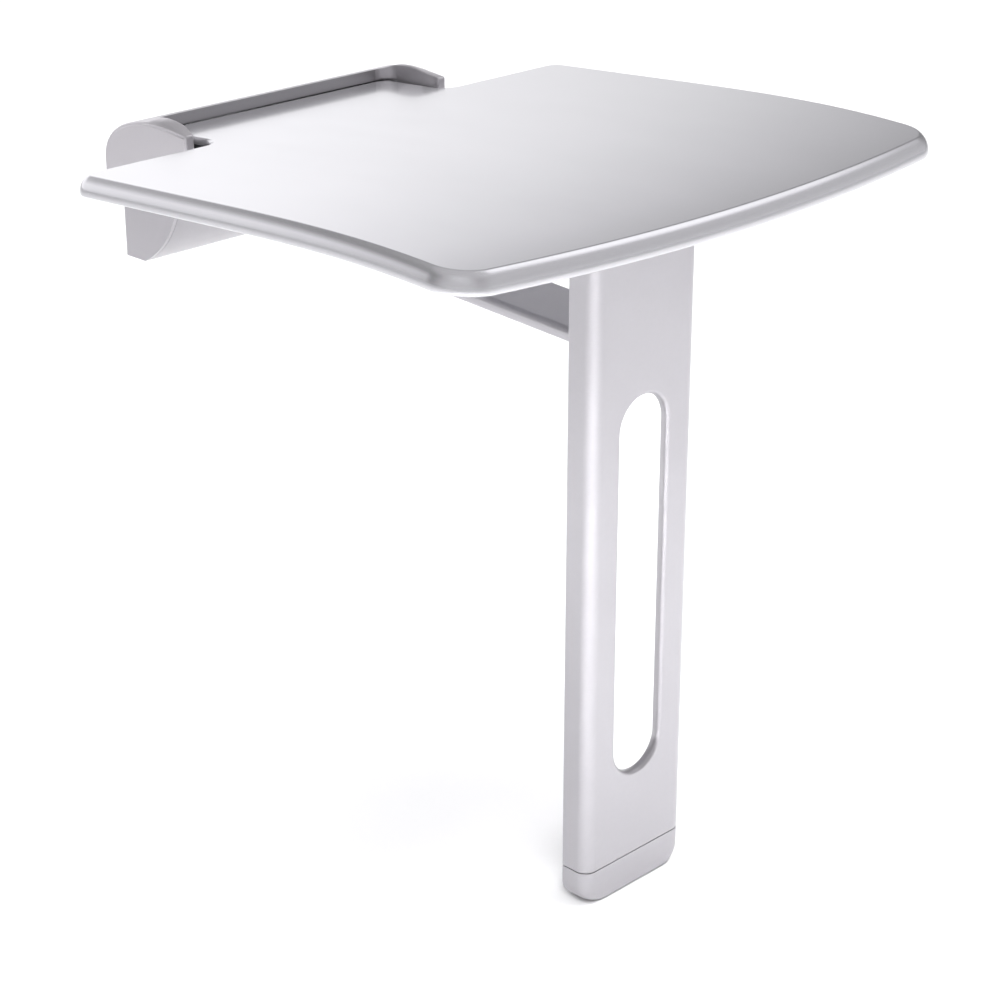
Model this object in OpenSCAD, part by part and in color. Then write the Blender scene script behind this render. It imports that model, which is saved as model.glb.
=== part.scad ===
/* [Seat] */
// Width of the seat across its straight sides
seat_w = 440; // [420:5:460]
// Distance from the wall to the middle of the front edge
seat_reach = 472; // [466:1:480]
// Distance from the wall to the back edge of the seat's two shoulders
shoulder_y = 102; // [100:1:106]
// Thickness of the seat at its rounded rim
seat_t = 13; // [12:0.5:14]
// Thickness of the top skin over the hollow underside
seat_skin = 5; // [4.5:0.1:5.2]
// How far the front edge bows forward across the full width
front_bow = 19; // [12:1:24]
// Plan radius of the two front corners
front_r = 30; // [22:1:36]
// Plan radius of the two back corners
back_r = 14; // [10:1:18]
// Height of the seat's top surface at the shoulders, above the wall face centre
seat_back_z = 56.4; // [56:0.1:56.8]
// Rise of the top surface per millimetre, going away from the wall
seat_rise = 0.066; // [0.06:0.001:0.07]
// Distance from the wall at which the top surface starts to roll over
roll_start = 227; // [215:1:240]
// Half width of the tongue that reaches back between the end caps
tongue_hw = 103; // [102.5:0.1:103.2]

/* [Leg] */
// Width of the leg
leg_w = 97; // [94:1:100]
// Depth of the leg, front to back
leg_d = 23; // [22:0.5:24]
// Distance from the wall to the front face of the leg
leg_front = 395.4; // [395:0.1:396]
// Height of the wall face centre above the floor
floor_drop = 430; // [420:1:445]
// Thickness of the leg's front wall
leg_front_wall = 5; // [4.5:0.1:5.2]
// Thickness of the leg's side walls
leg_side_wall = 4; // [3:0.5:4.5]
// Width of the long opening in the leg
slot_w = 44; // [36:1:50]
// Height of the lower end of the opening above the floor
slot_low = 88; // [70:1:110]
// Length of the opening
slot_len = 270; // [240:1:280]
// Height of the foot cap
foot_h = 25.5; // [22:0.5:30]

/* [Folding strut] */
// Width of the strut
strut_w = 56; // [50:1:58]
// Thickness of the strut
strut_t = 10; // [9:0.5:10.5]

/* [Wall bracket] */
// Half length of the wall rail
rail_hw = 102.3; // [102:0.1:102.4]
// Radius of the rail's convex lower front
rail_r = 78; // [77:0.5:79]
// Thickness of the rail's front shell and hood
rail_t = 3.5; // [3:0.1:3.8]
// Thickness of the rail's back wall
back_t = 5; // [4:0.5:5]
// Distance from the wall to the front lip of the hood
hood_y = 40; // [39:0.5:40.5]
// Outer half width over the two end caps
cap_hw = 118.5; // [117:0.5:121]
// Distance from the wall to the nose of the end caps
cap_nose = 91; // [88:0.5:93]
// Height of the top of the end caps
cap_top = 62.3; // [61.5:0.1:64]

/* [Wall screws] */
// Distance between the screw columns
screw_dx = 150; // [140:1:160]
// Distance between the screw rows
screw_dz = 34; // [30:1:38]
// Diameter of the wall screw holes
screw_hole = 8.5; // [8:0.1:9]

/* [Hidden] */
$fn = 64;

// Colours
c_seat = [0.90, 0.90, 0.92];
c_leg = [0.84, 0.83, 0.86];
c_cap = [0.78, 0.76, 0.79];
c_rail = [0.70, 0.69, 0.73];
c_steel = [0.62, 0.63, 0.65];
c_dark = [0.20, 0.20, 0.22];
c_nylon = [0.93, 0.92, 0.88];

// The four pivots, as [y, z]: a parallelogram hinge_a, leg_b, leg_c, wall_d
link_y = 319;
link_drop = 15.6;
hinge_a = [-58, 39];
wall_d = [-64, -21.9];
leg_b = hinge_a - [link_y, link_drop];
leg_c = wall_d - [link_y, link_drop];
strut_angle = atan(link_drop / link_y);

// Pins, bushes and running clearances
pin_r = 4;
bush_r = 6;
fit = 0.05;
gap = 0.3;
washer_t = 1.5;
clip_t = 1;
clip_r = 6;

// Seat
roll_rate = 0.00000103;
tongue_y = 41.5;
tongue_r = 10;
neck_r = 12;
station_step = 15;
rim_break = 3;
rim_inset = 1.6;
frame_t = 3;
cover_t = 2.5;
pocket_inset = 14;
frame_hw = 90;
frame_back = 70;
frame_front = 404;
knuckle_in = 62;
knuckle_out = 95;
knuckle_r = 8.5;
lug_hw = 22;
lug_r = 8;
bow_r = (seat_w * seat_w / 4 + front_bow * front_bow) / (2 * front_bow);

// Leg
floor_z = -floor_drop;
leg_top_z = 48;
leg_r = 9;
leg_back_r = 2.5;
leg_y = -leg_front;
leg_in_y = leg_y + leg_front_wall;
slot_r = slot_w / 2;
slot_z0 = floor_z + slot_low + slot_r;
slot_z1 = floor_z + slot_low + slot_len - slot_r;
lip_t = 1.5;
lip_w = 3;
seam = 0.4;
foot_r = 13;
pad_t = 3;
pad_proud = 0.5;
spigot_h = 18;
cheek_in = 31;
cheek_out = 36;
bracket_low = leg_c[1] - 12;
bracket_high = leg_b[1] + 10;

// Wall bracket
rail_low = -44.4;
rail_bulge = [15, 25];
shell_top = 29;
dome_back_z = 30;
dome_back_rise = 18;
dome_back_run = 22;
dome_r = 240;
dome_peak = -60;
flare_r = 12;
hood_t = 5;
pad_h = 5.9;
plate_t = 3;
cap_in = 108.5;
ledge_in = 95.6;
cap_low = 4;
cheek_a_in = 54;
cheek_a_out = 60;
cheek_b_in = 97;
cheek_b_out = 101.5;
d_cheek_in = 29.8;
d_cheek_out = 35.8;
slot_hw = 38;
slot_bottom = -33;

// Height of the middle of the four wall screw holes
screw_zc = -14;

// Bolts that hold the three inner brackets to the rail's back wall, as [x, z]
bracket_t = 4;
bolt_r = 3;
bolt_head_r = 5;
bolt_head_h = 3;
bolt_spots = [[-66, -14], [66, -14], [-91, -31], [91, -31], [-91, 3], [91, 3],
    [-14, -36], [14, -36], [-14, -8], [14, -8]];

// Small screws: radius, head radius and head height
small_r = 1.9;
small_head = [3.5, 2];
end_screw_r = 2.1;
end_screw_head = [3.4, 1.4];
leg_screw_r = 2;
frame_screw_xy = [for (x = [-70, 0, 70], y = [-140, -240, -330]) if (x != 0 || y == -240) [x, y]];
knuckle_screw_xy = [[70, -78], [86, -78]];
lug_screw_xy = [[14, -396], [14, -356]];
leg_screw_xz = [[26, 34], [26, -22], [-26, 34], [-26, -22]];

// Strut
strut_len = sqrt(link_y * link_y + link_drop * link_drop);
eye_reach = 11;
eye_hw = 27;
eye_r = 6.6;
eye_bore = 5.4;
tube_wall = 2;
strut_r = 4;

// ---------- helpers ----------

// Height of the seat's top surface at distance y from the wall (y is negative)
function top_z(y) = seat_back_z + seat_rise * (-shoulder_y - y)
    - roll_rate * pow(max(0, -roll_start - y), 3);

// Height of the underside of the skin and of the support frame at distance y
function skin_low(y) = top_z(y) - seat_skin;
function frame_low(y) = top_z(y) - seat_skin - frame_t;

// Height of the end caps' inner ledges and of the hood's lip
function ledge_z(y) = skin_low(y) - pad_h - gap;
lip_z = top_z(-tongue_y) - 0.1;

// Points of an arc
function arc(c, r, a0, a1, n) =
    [for (i = [0 : n]) c + r * [cos(a0 + (a1 - a0) * i / n), sin(a0 + (a1 - a0) * i / n)]];

// Points of a cubic Bezier curve
function bezier(p0, p1, p2, p3, n) = [for (i = [0 : n]) let (t = i / n, u = 1 - t)
    u * u * u * p0 + 3 * u * u * t * p1 + 3 * u * t * t * p2 + t * t * t * p3];

// Same list, other way round
function flip(v) = [for (i = [len(v) - 1 : -1 : 0]) v[i]];

// A side-view outline drawn as [y, z], extruded from x0 to x1
module along_x(x0, x1) {
    translate([x0, 0, 0]) rotate([90, 0, 90]) linear_extrude(x1 - x0) children();
}

// A front-view outline drawn as [x, z], extruded from y0 to y1
module along_y(y0, y1) {
    translate([0, y1, 0]) rotate([90, 0, 0]) linear_extrude(y1 - y0) children();
}

// A round bar along X, at the side-view point p
module rod(p, r, x0, x1) {
    translate([x0, p[0], p[1]]) rotate([0, 90, 0]) cylinder(h = x1 - x0, r = r);
}

// Both sides of the middle plane
module both_sides() {
    children();
    mirror([1, 0, 0]) children();
}

// A box between two corners
module block(a, b) {
    translate(a) cube(b - a);
}

// A slice of the seat between two depths below its top surface, from distance y0 to y1
module seat_slice(d0, d1, y0, y1, hw) {
    ys = [for (y = [-30 : -station_step : -seat_reach - station_step]) y];
    intersection() {
        along_x(-hw, hw) polygon(concat(
            [for (y = ys) [y, top_z(y) - d0]],
            [for (y = flip(ys)) [y, top_z(y) - d1]]));
        block([-hw, y1, -100], [hw, y0, 200]);
    }
}

// Plan outline of the seat, pulled in by k all round; the tongue is optional
module seat_plan(k, tongue = true) {
    hw = seat_w / 2 - k;
    rf = front_r - k;
    rb = max(back_r - k, 1);
    cy = -seat_reach + bow_r;
    xc = hw - rf;
    yc = cy - sqrt(pow(bow_r - k - rf, 2) - xc * xc);
    lean = asin(xc / (bow_r - k - rf));
    front = arc([0, cy], bow_r - k, -90, -90 + lean, 12);
    corner = arc([xc, yc], rf, -90 + lean, 0, 10);
    back_y = -shoulder_y - k;
    back = arc([hw - rb, back_y - rb], rb, 0, 90, 8);
    neck = tongue ? concat(
        arc([tongue_hw + neck_r, neck_r - shoulder_y], neck_r + k, 270, 180, 8),
        arc([tongue_hw - tongue_r, -tongue_y - tongue_r], tongue_r - k, 0, 90, 8)) : [];
    half = concat(front, corner, back, neck);
    polygon(concat(half, [for (p = flip(half)) [-p[0], p[1]]]));
}

// A seat-shaped slab between two depths, pulled in by k
module seat_slab(d0, d1, k, tongue = true) {
    intersection() {
        seat_slice(d0, d1, -tongue_y, -seat_reach - 1, seat_w);
        translate([0, 0, -50]) linear_extrude(200) seat_plan(k, tongue);
    }
}

// Outline of the leg's cross-section, drawn as [x, y]
module leg_section() {
    hw = leg_w / 2;
    yb = leg_y + leg_d;
    polygon(concat(
        arc([-hw + leg_r, leg_y + leg_r], leg_r, 180, 270, 10),
        arc([hw - leg_r, leg_y + leg_r], leg_r, 270, 360, 10),
        arc([hw - leg_back_r, yb - leg_back_r], leg_back_r, 0, 90, 4),
        arc([-hw + leg_back_r, yb - leg_back_r], leg_back_r, 90, 180, 4)));
}

// A screw along +Z with its head below the origin
module screw(r, l, head_r, head_h) {
    cylinder(h = l, r = r);
    translate([0, 0, -head_h]) cylinder(h = head_h, r = head_r);
}

// A flanged bush half along +X from x0, flange outside
module bush(p, x0, l) {
    difference() {
        union() {
            rod(p, bush_r, x0, x0 + l);
            rod(p, bush_r + 1.8, x0 + l, x0 + l + washer_t);
        }
        rod(p, pin_r + fit, x0 - 1, x0 + l + washer_t + 1);
    }
}

// ---------- wall bracket ----------

// Rounded outline of the end caps, from the wall to the nose, pulled in by t
module dome(low, t = 0) {
    top = cap_top - t;
    back = bezier([-t, dome_back_z], [-t, dome_back_z + dome_back_rise],
        [-dome_back_run, top], [dome_peak, top], 14);
    front = [for (i = [1 : 6]) let (y = dome_peak - (cap_nose + dome_peak) * i / 6)
        [y, top - dome_r + sqrt(dome_r * dome_r - pow(y - dome_peak, 2))]];
    polygon(concat([[-t, low]], back, front, [[-cap_nose, low]]));
}

// The hood's section: a curved roof that ends in a lip above the tongue of the seat
module hood() {
    difference() {
        dome(shell_top - 1);
        translate([-cap_nose - 1, 0]) square([cap_nose + 1 - hood_y, 100]);
        intersection() {
            dome(0, hood_t);
            translate([-hood_y + rail_t, 0]) square([hood_y, 100]);
        }
        translate([-hood_y - 1, 0]) square([rail_t + 1.2, lip_z]);
    }
}

// Outline of the lower body, pulled in by t
module lower_body(t = 0) {
    r = rail_r - t;
    low = rail_low + t;
    a0 = 180 + asin((rail_bulge[1] - low) / r);
    polygon(concat(
        [[-t, shell_top], [-t, low]],
        arc(rail_bulge, r, a0, 180, 14),
        [[rail_bulge[0] - r, shell_top]]));
}

module screw_holes(r, y0, y1) {
    for (x = [-screw_dx / 2, screw_dx / 2], z = [-screw_dz / 2, screw_dz / 2])
        translate([x, y1, screw_zc + z]) rotate([90, 0, 0]) cylinder(h = y1 - y0, r = r);
}

module bolt_holes(r, y0, y1) {
    for (p = bolt_spots)
        translate([p[0], y1, p[1]]) rotate([90, 0, 0]) cylinder(h = y1 - y0, r = r);
}

module wall_rail() color(c_rail) difference() {
    union() {
        along_x(-rail_hw, rail_hw) difference() {
            lower_body();
            lower_body(rail_t);
            translate([-rail_r, shell_top - 1]) square([rail_r - back_t, 10]);
        }
        along_x(-rail_hw, rail_hw) hood();
        block([-rail_hw, -back_t, rail_low], [rail_hw, 0, dome_back_z]);
    }
    block([-slot_hw, -90, slot_bottom], [slot_hw, -30, 40]);
    screw_holes(screw_hole / 2, -20, 5);
    bolt_holes(bolt_r, -20, 5);
}

module end_plate() color(c_rail) difference() {
    along_x(rail_hw + 0.2, rail_hw + 0.2 + plate_t) intersection() {
        lower_body();
        polygon([[0, -60], [-100, -60], [-100, 18], [-back_t - 4, 18], [-back_t - 4, 28], [0, 28]]);
    }
    end_screw_spots() cylinder(h = 40, r = end_screw_r, center = true);
    end_screw_spots() cylinder(h = 4, r = 3.6);
}

module end_screw_spots() {
    for (y = [-40, -18])
        translate([rail_hw + plate_t - end_screw_head[1], y, 9]) rotate([0, 90, 0]) children();
}

module left_end_plate() mirror([1, 0, 0]) end_plate();
module right_end_plate() end_plate();

module end_cap() color(c_cap) difference() {
    union() {
        along_x(cap_in, cap_hw) intersection() {
            dome(-30);
            polygon(concat([[1, cap_low - 4], [1, 100], [-100, 100], [-100, 40]],
                arc([-cap_nose + 22, 40], 22, 180, 262, 8), [[-60, cap_low]]));
        }
        along_x(rail_hw + 3.4, cap_in) translate([-60, cap_low]) square([60, 14]);
        along_x(rail_hw + 3.4, cap_in) translate([-back_t, cap_low]) square([back_t, 26]);
        along_x(rail_hw + 3.4, cap_in) hood();
        along_x(ledge_in, cap_in) polygon([[-87, 22], [-71, 22],
            [-71, ledge_z(-71)], [-87, ledge_z(-87)]]);
        cap_flare();
    }
}

// Concave corner between the end cap's inner face and the hood's front
module cap_flare() {
    y1 = -hood_y - 0.05;
    intersection() {
        along_x(cap_in - flare_r, cap_in) difference() {
            dome(lip_z + 0.6);
            translate([y1, 0]) square([hood_y + 1, 100]);
            translate([-cap_nose - 1, 0]) square([cap_nose + 1 - hood_y - flare_r, 100]);
        }
        difference() {
            block([cap_in - flare_r, y1 - flare_r, 0], [cap_in, y1, 90]);
            translate([cap_in - flare_r, y1 - flare_r, -1]) cylinder(h = 100, r = flare_r);
        }
    }
}

module left_end_cap() mirror([1, 0, 0]) end_cap();
module right_end_cap() end_cap();

// U bracket that carries one hinge pin between two cheeks
module hinge_bracket() color(c_steel) difference() {
    union() {
        for (x = [[cheek_a_in, cheek_a_out], [cheek_b_in, cheek_b_out]]) {
            rod(hinge_a, 8, x[0], x[1]);
            along_x(x[0], x[1]) polygon([[hinge_a[0] + 7.9, hinge_a[1]], [hinge_a[0] + 7.9, 18],
                [-back_t - bracket_t, 18], [-back_t - bracket_t, -40], [-back_t - 12, -40],
                [hinge_a[0] + 3, 4], [hinge_a[0] - 0.8, 20], [hinge_a[0] - 0.8, hinge_a[1]]]);
        }
        block([cheek_a_in, -back_t - bracket_t, -40], [cheek_b_out, -back_t, 18]);
    }
    rod(hinge_a, pin_r, 0, 200);
    screw_holes(7, -60, 0);
    bolt_holes(bolt_r, -20, 5);
    end_screw_spots() cylinder(h = 14, r = end_screw_r, center = true);
}
module left_hinge_bracket() mirror([1, 0, 0]) hinge_bracket();
module right_hinge_bracket() hinge_bracket();

module hinge_pin() color(c_steel) {
    rod(hinge_a, pin_r, cheek_a_in, cheek_b_out + 2.5);
    rod(hinge_a, pin_r + 2, cheek_a_in - 2, cheek_a_in);
}
module left_hinge_pin() mirror([1, 0, 0]) hinge_pin();
module right_hinge_pin() hinge_pin();

module pin_clip(p, x0) {
    difference() {
        rod(p, clip_r, x0, x0 + clip_t);
        rod(p, pin_r, x0 - 1, x0 + clip_t + 1);
    }
}
module hinge_pin_clips() color(c_dark) both_sides() pin_clip(hinge_a, cheek_b_out + 0.1);

module strut_bracket() color(c_steel) difference() {
    union() {
        both_sides() {
            rod(wall_d, 8, d_cheek_in, d_cheek_out);
            along_x(d_cheek_in, d_cheek_out) polygon([[wall_d[0], wall_d[1] - 8],
                [wall_d[0], wall_d[1] + 8], [-back_t - bracket_t, wall_d[1] + 24],
                [-back_t - bracket_t, wall_d[1] - 18], [-back_t - 20, wall_d[1] - 8]]);
        }
        block([-d_cheek_out, -back_t - bracket_t, -40], [d_cheek_out, -back_t, 4]);
    }
    rod(wall_d, pin_r, -60, 60);
    bolt_holes(bolt_r, -20, 5);
}

module strut_wall_pin() color(c_steel) {
    rod(wall_d, pin_r, -d_cheek_out, d_cheek_out + 2.2);
    rod(wall_d, pin_r + 2, -d_cheek_out - 1.8, -d_cheek_out);
}
module strut_wall_pin_clip() color(c_dark) pin_clip(wall_d, d_cheek_out + 0.1);

module bracket_bolts() color(c_steel) {
    for (p = bolt_spots)
        translate([p[0], -back_t - bracket_t, p[1]]) rotate([-90, 0, 0])
            screw(bolt_r, back_t + bracket_t - 0.5, bolt_head_r, bolt_head_h);
}

module end_plate_screws() color(c_steel) both_sides()
    end_screw_spots() rotate([180, 0, 0])
        screw(end_screw_r, 6.5, end_screw_head[0], end_screw_head[1]);

module stop_pads() color(c_dark) both_sides()
    along_x(ledge_in + 0.4, tongue_hw - 0.5) polygon([[-86, ledge_z(-86)], [-72, ledge_z(-72)],
        [-72, ledge_z(-72) + pad_h], [-86, ledge_z(-86) + pad_h]]);

// ---------- seat ----------

module seat_shell() color(c_seat) difference() {
    union() {
        seat_slab(0, rim_break, rim_inset);
        seat_slab(rim_break, seat_t - rim_break, 0);
        seat_slab(seat_t - rim_break, seat_t, rim_inset);
    }
    seat_slab(seat_skin, seat_t + 1, pocket_inset, false);
    intersection() {
        seat_slice(seat_skin, seat_t + 1, -30, -shoulder_y - pocket_inset - 1, tongue_hw + 0.6);
        block([-tongue_hw - 0.6, -shoulder_y - pocket_inset - 1, 0], [tongue_hw + 0.6, -30, 90]);
    }
    frame_screw_spots() cylinder(h = 7, r = small_r);
}

module frame_screw_spots() {
    for (p = frame_screw_xy)
        translate([p[0], p[1], frame_low(p[1]) - 1]) children();
}
module frame_screws() color(c_steel)
    frame_screw_spots() translate([0, 0, 0.7]) screw(small_r, 6, 3.6, 1.4);

module support_frame() color(c_steel) difference() {
    seat_slice(seat_skin, seat_skin + frame_t, -frame_back, -frame_front, frame_hw);
    block([-50, -300, 0], [50, -150, 100]);
    frame_screw_spots() translate([0, 0, -5]) cylinder(h = 20, r = 2);
    knuckle_screw_spots() translate([0, 0, -5]) cylinder(h = 30, r = 2);
    lug_screw_spots() translate([0, 0, -5]) cylinder(h = 30, r = 2);
}

module knuckle_screw_spots() both_sides()
    for (p = knuckle_screw_xy)
        translate([p[0], p[1], frame_low(p[1]) - 8]) children();
module lug_screw_spots() both_sides()
    for (p = lug_screw_xy)
        translate([p[0], p[1], frame_low(p[1]) - 8]) children();

module knuckle_screws() color(c_steel) {
    knuckle_screw_spots() translate([0, 0, -gap]) screw(small_r, 11, small_head[0], small_head[1]);
    lug_screw_spots() translate([0, 0, -gap]) screw(small_r, 11, small_head[0], small_head[1]);
}

module seat_knuckle() color(c_steel) difference() {
    union() {
        rod(hinge_a, knuckle_r, knuckle_in, knuckle_out);
        along_x(knuckle_in, knuckle_out) polygon([[hinge_a[0] - 7.5, hinge_a[1] - 4],
            [-71, frame_low(-71) - 8], [-86, frame_low(-86) - 8], [-86, 60], [-50, 60],
            [-50, hinge_a[1]]]);
    }
    seat_slice(-20, seat_skin, -40, -100, 100);
    seat_slice(-20, seat_skin + frame_t, -frame_back, -100, 100);
    rod(hinge_a, bush_r, 0, 200);
    knuckle_screw_spots() translate([0, 0, -5]) cylinder(h = 30, r = 2);
}
module left_seat_knuckle() mirror([1, 0, 0]) seat_knuckle();
module right_seat_knuckle() seat_knuckle();

module hinge_bushes() color(c_nylon) both_sides() {
    bush(hinge_a, knuckle_out - 14, 14);
    translate([2 * knuckle_in + 14, 0, 0]) mirror([1, 0, 0]) bush(hinge_a, knuckle_in, 14);
}

module leg_lug() color(c_steel) difference() {
    union() {
        rod(leg_b, lug_r, -lug_hw, lug_hw);
        block([-lug_hw, leg_b[0] - lug_r, leg_b[1]], [lug_hw, leg_b[0] + lug_r, 80]);
        seat_slice(seat_skin + frame_t, seat_skin + frame_t + 8, -350, -402, lug_hw);
    }
    seat_slice(-40, seat_skin + frame_t, -340, -410, 100);
    rod(leg_b, bush_r, -60, 60);
    lug_screw_spots() translate([0, 0, -5]) cylinder(h = 30, r = 2);
}

module leg_lug_bushes() color(c_nylon) both_sides() bush(leg_b, lug_hw - 12, 12);

module underside_cover() color(c_seat) difference() {
    intersection() {
        seat_slice(seat_t - cover_t, seat_t, -shoulder_y, -seat_reach - 1, seat_w);
        translate([0, 0, -50]) linear_extrude(200) seat_plan(pocket_inset + gap, false);
    }
    block([-lug_hw - 2, -405, 0], [lug_hw + 2, -346, 90]);
    both_sides() block([knuckle_in - 2, -shoulder_y - 30, 0], [knuckle_out + 2, -40, 90]);
}

// ---------- leg ----------

module stadium(r) {
    translate([0, slot_z0]) circle(r = r);
    translate([0, slot_z1]) circle(r = r);
    translate([-r, slot_z0]) square([2 * r, slot_z1 - slot_z0]);
}

module leg_channel() color(c_leg) difference() {
    union() {
        difference() {
            translate([0, 0, floor_z + foot_h]) linear_extrude(leg_top_z - floor_z - foot_h)
                leg_section();
            block([-leg_w / 2 + leg_side_wall, leg_in_y, floor_z],
                [leg_w / 2 - leg_side_wall, leg_y + leg_d + 1, leg_top_z + 1]);
        }
        along_y(leg_in_y - 1, leg_in_y + lip_t) stadium(slot_r + lip_w);
    }
    along_y(leg_y - 5, leg_in_y + 10) stadium(slot_r);
    leg_screw_spots() cylinder(h = 3.2, r = leg_screw_r);
    foot_screw_spots() cylinder(h = 30, r = leg_screw_r, center = true);
}

module leg_screw_spots() {
    for (p = leg_screw_xz)
        translate([p[0], leg_in_y + 0.2, p[1]]) rotate([90, 0, 0]) children();
}
module foot_screw_spots() both_sides()
    translate([leg_w / 2 - leg_side_wall, leg_y + 14, floor_z + foot_h + 10])
        rotate([0, 90, 0]) children();

// Inner U bracket with the two leg pivots
module leg_bracket() color(c_steel) difference() {
    union() {
        block([-cheek_out, leg_in_y, bracket_low], [cheek_out, leg_in_y + 2.5, bracket_high + 6]);
        both_sides() {
            block([cheek_in, leg_in_y, bracket_low], [cheek_out, leg_y + leg_d - 1, bracket_high]);
            rod(leg_b, 8, cheek_in, cheek_out);
        }
    }
    rod(leg_b, pin_r, -60, 60);
    rod(leg_c, pin_r, -60, 60);
    rod(leg_c, 8.3, -29.5, 29.5);
    block([-23, leg_in_y - 1, leg_b[1] - 10], [23, leg_in_y + 5, bracket_high + 7]);
    leg_screw_spots() cylinder(h = 20, r = leg_screw_r, center = true);
}
module leg_bracket_screws() color(c_steel)
    leg_screw_spots() translate([0, 0, -2.3]) screw(leg_screw_r, 5, 3.4, 1.6);

module leg_pivot_pin() color(c_steel) {
    rod(leg_b, pin_r, -cheek_out, cheek_out + 2.2);
    rod(leg_b, pin_r + 2, -cheek_out - 2, -cheek_out);
}
module strut_leg_pin() color(c_steel) {
    rod(leg_c, pin_r, -cheek_out, cheek_out + 2.2);
    rod(leg_c, pin_r + 2, -cheek_out - 2, -cheek_out);
}
module leg_pin_clips() color(c_dark) {
    pin_clip(leg_b, cheek_out + 0.1);
    pin_clip(leg_c, cheek_out + 0.1);
}

// Outline of the foot from the front, with rounded lower corners
module foot_front(z0, z1) {
    hw = leg_w / 2;
    polygon(concat([[-hw, z1]],
        arc([-hw + foot_r, z0 + foot_r], foot_r, 180, 270, 10),
        arc([hw - foot_r, z0 + foot_r], foot_r, 270, 360, 10), [[hw, z1]]));
}

module foot_cap() color(c_leg) difference() {
    union() {
        intersection() {
            translate([0, 0, floor_z]) linear_extrude(foot_h - seam) leg_section();
            along_y(leg_y - 1, leg_y + leg_d + 1)
                foot_front(floor_z + pad_proud, floor_z + foot_h - seam);
        }
        block([-leg_w / 2 + leg_side_wall, leg_in_y, floor_z + foot_h - seam - 1],
            [leg_w / 2 - leg_side_wall, leg_y + leg_d - 2, floor_z + foot_h + spigot_h]);
    }
    pad_space(0);
    block([-30, leg_in_y + 3, floor_z + foot_h - 4], [30, leg_y + leg_d - 1.9, floor_z + 60]);
    foot_screw_spots() cylinder(h = 12, r = leg_screw_r, center = true);
}
module pad_space(k) {
    block([-32 + k, leg_y + 4.5 + k, floor_z], [32 - k, leg_y + leg_d - 4.5 - k, floor_z + pad_t]);
}
module foot_pad() color(c_dark) pad_space(0);
module foot_screws() color(c_steel) both_sides()
    translate([leg_w / 2 - leg_side_wall - 6, leg_y + 14, floor_z + foot_h + 10])
        rotate([0, 90, 0]) cylinder(h = 9.4, r = leg_screw_r);

// ---------- strut ----------

// Draws its children on the strut's own axis, from the wall pivot towards the leg
module on_strut() {
    translate([0, wall_d[0], wall_d[1]]) rotate([strut_angle, 0, 0]) children();
}

// Flattened round-edged outline of the tube, drawn as [x, z], pulled in by t
module tube_outline(t) {
    hw = strut_w / 2 - t;
    hh = strut_t / 2 - t;
    r = strut_r - t;
    polygon(concat(arc([hw - r, hh - r], r, 0, 90, 6), arc([-hw + r, hh - r], r, 90, 180, 6),
        arc([-hw + r, -hh + r], r, 180, 270, 6), arc([hw - r, -hh + r], r, 270, 360, 6)));
}
module strut_bar() color(c_leg) on_strut() difference() {
    along_y(-strut_len + eye_reach, -eye_reach) tube_outline(0);
    along_y(-strut_len, 0) tube_outline(tube_wall);
}

// Solid end with a pivot eye at distance s along the strut; dir points into the tube
module strut_eye(s, dir) {
    edge = s + dir * eye_reach;
    difference() {
        union() {
            rod([-s, 0], eye_r, -eye_hw, eye_hw);
            along_x(-eye_hw, eye_hw)
                polygon([[-s, -4.9], [-s, 4.9], [-edge, 4.9], [-edge, -4.9]]);
            along_y(min(-edge, -edge - dir * 25), max(-edge, -edge - dir * 25))
                tube_outline(tube_wall);
        }
        rod([-s, 0], eye_bore, -60, 60);
    }
}
module strut_wall_end() color(c_steel) on_strut() strut_eye(0, 1);
module strut_leg_end() color(c_steel) on_strut() strut_eye(strut_len, -1);

module strut_bush(s) both_sides() difference() {
    union() {
        rod([-s, 0], eye_bore, eye_hw - 14, eye_hw);
        rod([-s, 0], eye_r, eye_hw, eye_hw + washer_t);
    }
    rod([-s, 0], pin_r + fit, 0, 60);
}
module strut_bushes() color(c_nylon) on_strut() {
    strut_bush(0);
    strut_bush(strut_len);
}

wall_rail();
left_end_plate();
right_end_plate();
left_end_cap();
right_end_cap();
left_hinge_bracket();
right_hinge_bracket();
left_hinge_pin();
right_hinge_pin();
hinge_pin_clips();
strut_bracket();
strut_wall_pin();
strut_wall_pin_clip();
bracket_bolts();
end_plate_screws();
stop_pads();
seat_shell();
support_frame();
left_seat_knuckle();
right_seat_knuckle();
hinge_bushes();
leg_lug();
leg_lug_bushes();
underside_cover();
frame_screws();
knuckle_screws();
leg_channel();
leg_bracket();
leg_bracket_screws();
leg_pivot_pin();
strut_leg_pin();
leg_pin_clips();
foot_cap();
foot_screws();
foot_pad();
strut_bar();
strut_leg_end();
strut_wall_end();
strut_bushes();
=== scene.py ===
import math

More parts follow.
